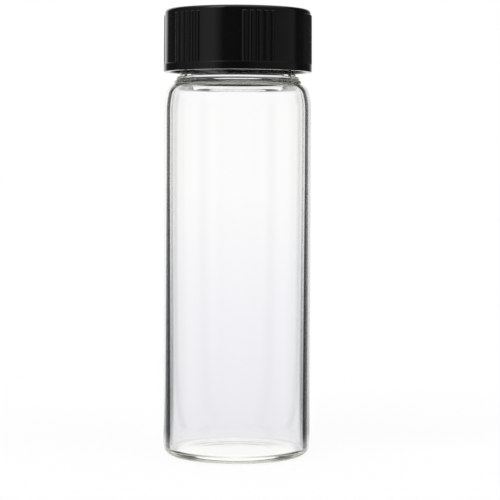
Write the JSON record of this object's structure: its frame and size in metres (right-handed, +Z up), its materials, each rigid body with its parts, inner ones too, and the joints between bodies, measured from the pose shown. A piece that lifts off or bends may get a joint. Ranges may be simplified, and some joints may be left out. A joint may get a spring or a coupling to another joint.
{
  "type": "glass sample vial",
  "caption": "Clear glass sample vial with a straight barrel, rounded shoulder and threaded neck, closed by a ribbed black screw cap with a sealing liner.",
  "frame": {"origin": "middle of the vial's foot, on the surface that it stands on", "axes": "+Z up along the vial's axis, from the foot to the cap; -Y is the side that the picture shows"},
  "size_m": [0.0266, 0.0266, 0.08],
  "materials": {
    "clear_glass": "clear smooth tubing glass",
    "black_plastic": "glossy moulded black plastic",
    "liner_foam": "off-white foam sheet"
  },
  "bodies": {
    "vial": {"glass_vial": "clear_glass"},
    "liner": {"cap_liner": "liner_foam"},
    "cap": {"screw_cap": "black_plastic"}
  },
  "joints": [
    {"name": "cap_lift", "type": "slide", "parent": "vial", "child": "liner", "axis": [0, 0, 1], "range_m": [0, 0.00927]},
    {"name": "cap_turn", "type": "hinge", "parent": "liner", "child": "cap", "pos_m": [0, 0, 0.0784], "axis": [0, 0, 1], "range_deg": [0, 1050]}
  ],
  "couplings": [
    {"joint": "cap_lift", "follows": "cap_turn", "m_per_rad": 0.00050532}
  ]
}
